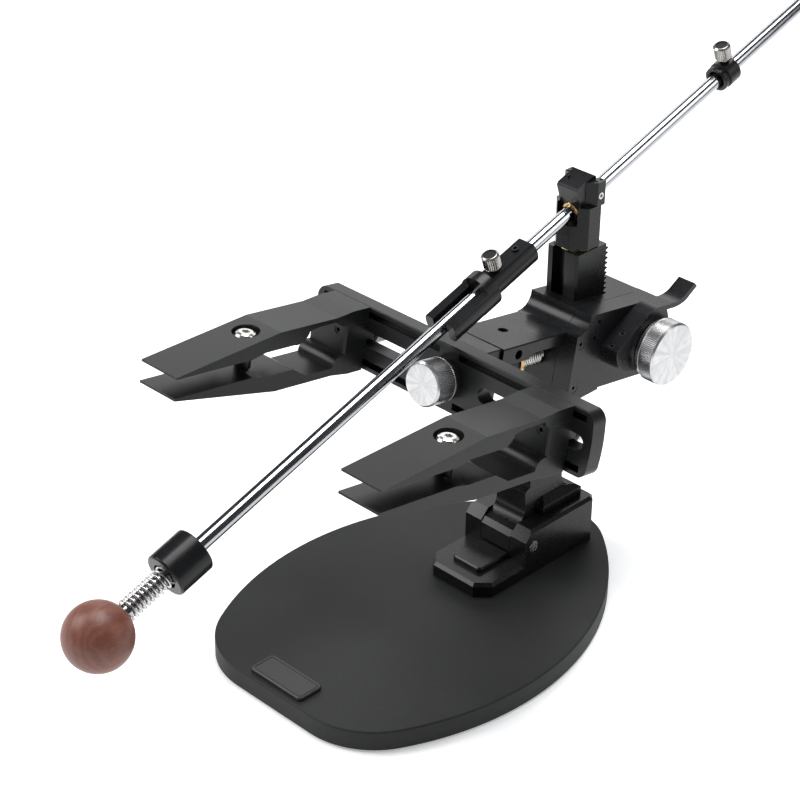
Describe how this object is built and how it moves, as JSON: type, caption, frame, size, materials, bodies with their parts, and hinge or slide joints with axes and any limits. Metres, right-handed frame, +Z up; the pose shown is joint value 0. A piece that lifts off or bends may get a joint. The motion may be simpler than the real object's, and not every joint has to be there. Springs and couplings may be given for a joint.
{
  "type": "honing guide",
  "caption": "Guided-rod knife sharpener: folding stand on an oval base, turning crossbar with jaw clamps, geared column, swivelling rod with stone holders.",
  "frame": {"origin": "on the bench under the front edge of the foot bracket, in the base's plane of symmetry", "axes": "+X to the right of the person working, +Y away from them, +Z up"},
  "size_m": [0.205, 0.6134, 0.3129],
  "materials": {
    "powder_coat": "fine matt black powder coat",
    "mat_rubber": "matt ribbed rubber",
    "badge_plastic": "matt black, blank",
    "black_anodised": "satin black anodised",
    "screw_steel": "machined bright steel",
    "black_screw": "black oxide",
    "bronze": "turned bronze",
    "brass_washer": "turned brass",
    "silver_knob": "turned face, knurled rim",
    "polished_rod": "ground and polished steel",
    "ball_wood": "oiled reddish-brown hardwood"
  },
  "bodies": {
    "stand": {"base_plate": "powder_coat", "base_mat": "mat_rubber", "badge": "badge_plastic", "foot_bracket": "black_anodised", "foot_screws": "screw_steel", "fold_pin": "screw_steel"},
    "latch": {"fold_latch": "black_anodised"},
    "arm": {"stand_arm": "black_anodised", "head_housing": "black_anodised", "side_plate": "black_anodised", "side_screws": "black_screw", "gib_screws": "black_screw", "bridge_plate": "black_anodised", "bridge_screw": "black_screw", "index_spring": "screw_steel", "index_collar": "bronze"},
    "rotor": {"rotor_block": "black_anodised", "rotor_shaft": "black_anodised", "crossbar": "black_anodised", "knob_ring": "black_anodised"},
    "centre_knob": {"front_knob": "silver_knob"},
    "lever": {"lock_lever": "black_anodised", "lever_screws": "black_screw"},
    "pinion": {"pinion_shaft": "screw_steel", "pinion_knob": "silver_knob"},
    "column": {"rack_column": "black_anodised", "column_washer": "brass_washer"},
    "column_top": {"column_head": "black_anodised", "cheek_grubs": "black_screw", "pivot_screws": "screw_steel"},
    "swivel": {"swivel_block": "black_anodised", "bushing": "bronze", "swivel_grub": "black_screw"},
    "rod": {"guide_rod": "polished_rod", "ball_handle": "ball_wood", "rod_spring": "screw_steel"},
    "front_stone_holder": {"front_holder": "black_anodised"},
    "rear_stone_holder": {"holder_sleeve": "black_anodised", "holder_fork": "black_anodised", "holder_grub": "black_screw"},
    "holder_thumb": {"holder_thumb_screw": "silver_knob"},
    "stop": {"stop_collar": "black_anodised"},
    "stop_thumb": {"stop_thumb_screw": "silver_knob"},
    "clamp_left": {"clamp_block_left": "black_anodised", "upper_jaw_left": "black_anodised", "fulcrum_screw_left": "black_screw", "clamp_sleeve_left": "black_anodised"},
    "lower_left": {"lower_jaw_left": "black_anodised"},
    "screw_left": {"clamp_screw_left": "screw_steel"},
    "rear_knob_left": {"jaw_knob_left": "silver_knob"},
    "clamp_right": {"clamp_block_right": "black_anodised", "upper_jaw_right": "black_anodised", "fulcrum_screw_right": "black_screw", "clamp_sleeve_right": "black_anodised"},
    "lower_right": {"lower_jaw_right": "black_anodised"},
    "screw_right": {"clamp_screw_right": "screw_steel"},
    "rear_knob_right": {"jaw_knob_right": "silver_knob"}
  },
  "joints": [
    {"name": "latch_slide", "type": "slide", "parent": "stand", "child": "latch", "axis": [0, -1, 0], "range_m": [0, 0.003]},
    {"name": "arm_fold", "type": "hinge", "parent": "stand", "child": "arm", "pos_m": [0, 0.043, 0.032], "axis": [1, 0, 0], "range_deg": [0, 15]},
    {"name": "clamp_turn", "type": "hinge", "parent": "arm", "child": "rotor", "pos_m": [0.0032, 0.01806, 0.15293], "axis": [0, 0.9867, -0.1623], "range_deg": [-12, 12]},
    {"name": "centre_knob_turn", "type": "hinge", "parent": "rotor", "child": "centre_knob", "pos_m": [0.0032, -0.02141, 0.15942], "axis": [0, 0.9867, -0.1623], "range_deg": [0, 360]},
    {"name": "lever_turn", "type": "hinge", "parent": "arm", "child": "lever", "pos_m": [0.037, 0.11531, 0.14342], "axis": [1, 0, 0], "range_deg": [0, 60]},
    {"name": "column_slide", "type": "slide", "parent": "arm", "child": "column", "axis": [0, 0, 1], "range_m": [0, 0.035]},
    {"name": "pinion_turn", "type": "hinge", "parent": "arm", "child": "pinion", "pos_m": [0, 0.11531, 0.14342], "axis": [1, 0, 0], "range_deg": [-268, 0]},
    {"name": "column_head_turn", "type": "hinge", "parent": "column", "child": "column_top", "pos_m": [0, 0.094, 0.21], "axis": [0, 0, 1], "range_deg": [-5, 5]},
    {"name": "swivel_tilt", "type": "hinge", "parent": "column_top", "child": "swivel", "pos_m": [0, 0.098, 0.2325], "axis": [1, 0, 0], "range_deg": [-27, 0]},
    {"name": "rod_slide", "type": "slide", "parent": "swivel", "child": "rod", "axis": [0, 0.9466, 0.3223], "range_m": [-0.038, 0.014]},
    {"name": "front_holder_slide", "type": "slide", "parent": "rod", "child": "front_stone_holder", "axis": [0, -0.9466, -0.3223], "range_m": [0, 0.008], "stiffness_N_per_m": 400, "deforming": ["rod_spring"]},
    {"name": "rear_holder_slide", "type": "slide", "parent": "rod", "child": "rear_stone_holder", "axis": [0, 0.9466, 0.3223], "range_m": [-0.038, 0.013]},
    {"name": "holder_thumb_turn", "type": "hinge", "parent": "rear_stone_holder", "child": "holder_thumb", "pos_m": [0, 0.02432, 0.21174], "axis": [0, -0.3223, 0.9466], "range_deg": [0, 360]},
    {"name": "stop_slide", "type": "slide", "parent": "rod", "child": "stop", "axis": [0, 0.9466, 0.3223], "range_m": [-0.05, 0.11]},
    {"name": "stop_thumb_turn", "type": "hinge", "parent": "stop", "child": "stop_thumb", "pos_m": [0, 0.21604, 0.27912], "axis": [0, -0.3223, 0.9466], "range_deg": [0, 360]},
    {"name": "clamp_slide_left", "type": "slide", "parent": "rotor", "child": "clamp_left", "axis": [-1, 0, 0], "range_m": [-0.025, 0.0095]},
    {"name": "clamp_screw_turn_left", "type": "hinge", "parent": "clamp_left", "child": "screw_left", "pos_m": [-0.0716, -0.09015, 0.18269], "axis": [0, 0.1623, 0.9867], "range_deg": [0, 1080]},
    {"name": "lower_jaw_open_left", "type": "hinge", "parent": "clamp_left", "child": "lower_left", "pos_m": [-0.0716, -0.01508, 0.15169], "axis": [1, 0, 0], "range_deg": [0, 2.2]},
    {"name": "rear_knob_turn_left", "type": "hinge", "parent": "clamp_left", "child": "rear_knob_left", "pos_m": [-0.0716, 0.00326, 0.15537], "axis": [0, 0.9867, -0.1623], "range_deg": [0, 360]},
    {"name": "clamp_slide_right", "type": "slide", "parent": "rotor", "child": "clamp_right", "axis": [1, 0, 0], "range_m": [-0.025, 0.0095]},
    {"name": "clamp_screw_turn_right", "type": "hinge", "parent": "clamp_right", "child": "screw_right", "pos_m": [0.0774, -0.09015, 0.18269], "axis": [0, 0.1623, 0.9867], "range_deg": [0, 1080]},
    {"name": "lower_jaw_open_right", "type": "hinge", "parent": "clamp_right", "child": "lower_right", "pos_m": [0.0774, -0.01508, 0.15169], "axis": [1, 0, 0], "range_deg": [0, 2.2]},
    {"name": "rear_knob_turn_right", "type": "hinge", "parent": "clamp_right", "child": "rear_knob_right", "pos_m": [0.0774, 0.00326, 0.15537], "axis": [0, 0.9867, -0.1623], "range_deg": [0, 360]}
  ],
  "couplings": [
    {"joint": "pinion_turn", "follows": "column_slide", "rad_per_m": -133.33},
    {"joint": "clamp_screw_turn_left", "follows": "lower_jaw_open_left", "ratio": 490},
    {"joint": "clamp_screw_turn_right", "follows": "lower_jaw_open_right", "ratio": 490}
  ]
}
